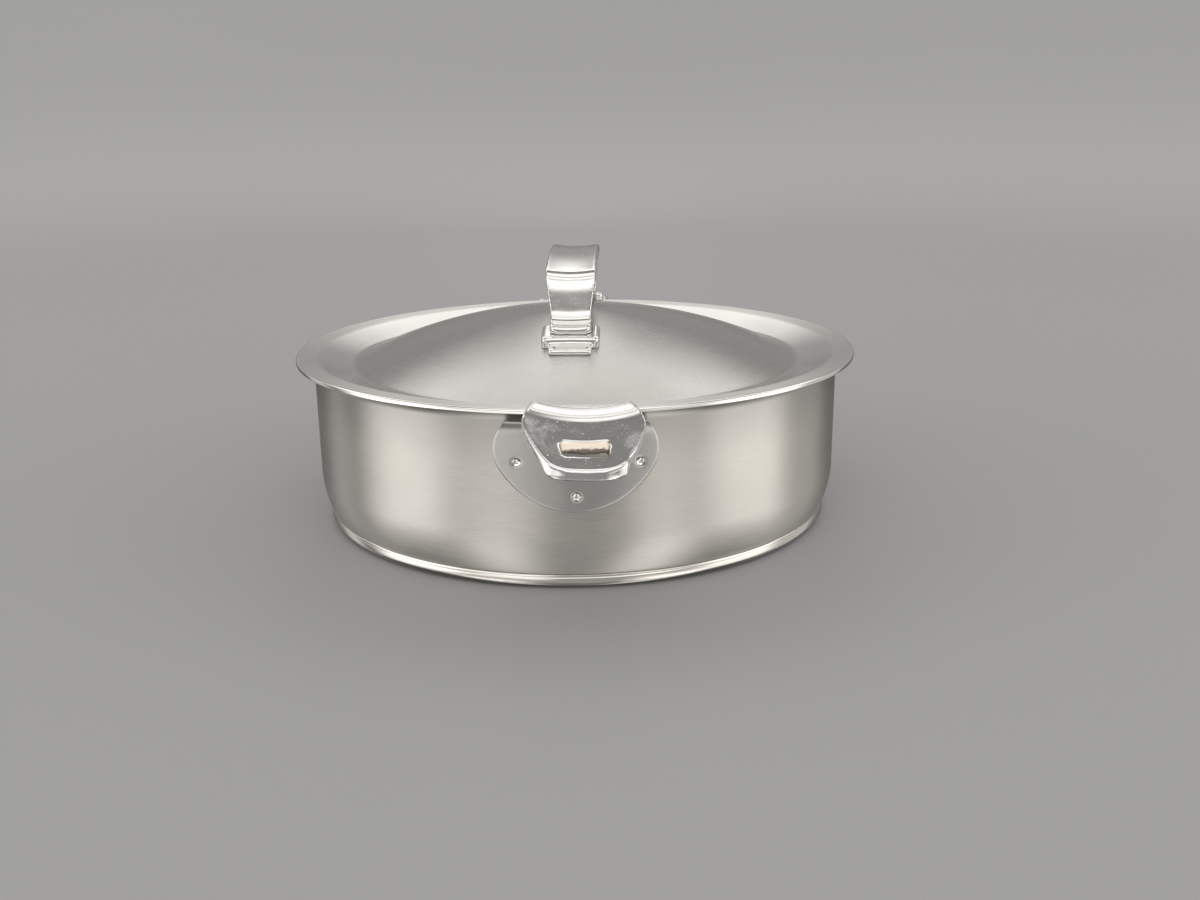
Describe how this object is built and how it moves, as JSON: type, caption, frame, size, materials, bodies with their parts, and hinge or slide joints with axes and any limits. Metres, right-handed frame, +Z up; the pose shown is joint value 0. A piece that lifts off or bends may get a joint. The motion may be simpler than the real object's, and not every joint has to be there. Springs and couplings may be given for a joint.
{
  "type": "braiser",
  "caption": "Low round stainless steel braiser with a layered base, two short welded side grips with slots, and a domed overhanging lid with an arched handle.",
  "frame": {"origin": "centre of the underside of the base, on the surface it stands on", "axes": "+Z up, +Y through the two side grips, with the front grip towards -Y; +X to the right of someone who faces the front grip"},
  "size_m": [0.3, 0.3706, 0.1413],
  "materials": {
    "satin_steel": "fine satin, brushed round the wall",
    "lid_steel": "fine satin, spun in rings",
    "plate_steel": "satin, a little duller than the wall",
    "weld_steel": "pressed bright dimples",
    "polished_base": "polished edge, finely turned underside",
    "polished_cast_steel": "mirror polished with fine dust and wear",
    "core_aluminium": "plain"
  },
  "bodies": {
    "pot": {"pot_body": "satin_steel", "base_core": "core_aluminium", "base_cap": "polished_base", "front_handle_plate": "plate_steel", "front_handle_welds": "weld_steel", "front_handle_grip": "polished_cast_steel", "rear_handle_plate": "plate_steel", "rear_handle_welds": "weld_steel", "rear_handle_grip": "polished_cast_steel"},
    "lid": {"lid_shell": "lid_steel", "lid_handle_arch": "polished_cast_steel", "lid_handle_front_foot": "polished_cast_steel", "lid_handle_rear_foot": "polished_cast_steel"}
  },
  "joints": [
    {"name": "lid_lift", "type": "slide", "parent": "pot", "child": "lid", "axis": [0, 0, 1], "range_m": [0, 0.12]}
  ]
}
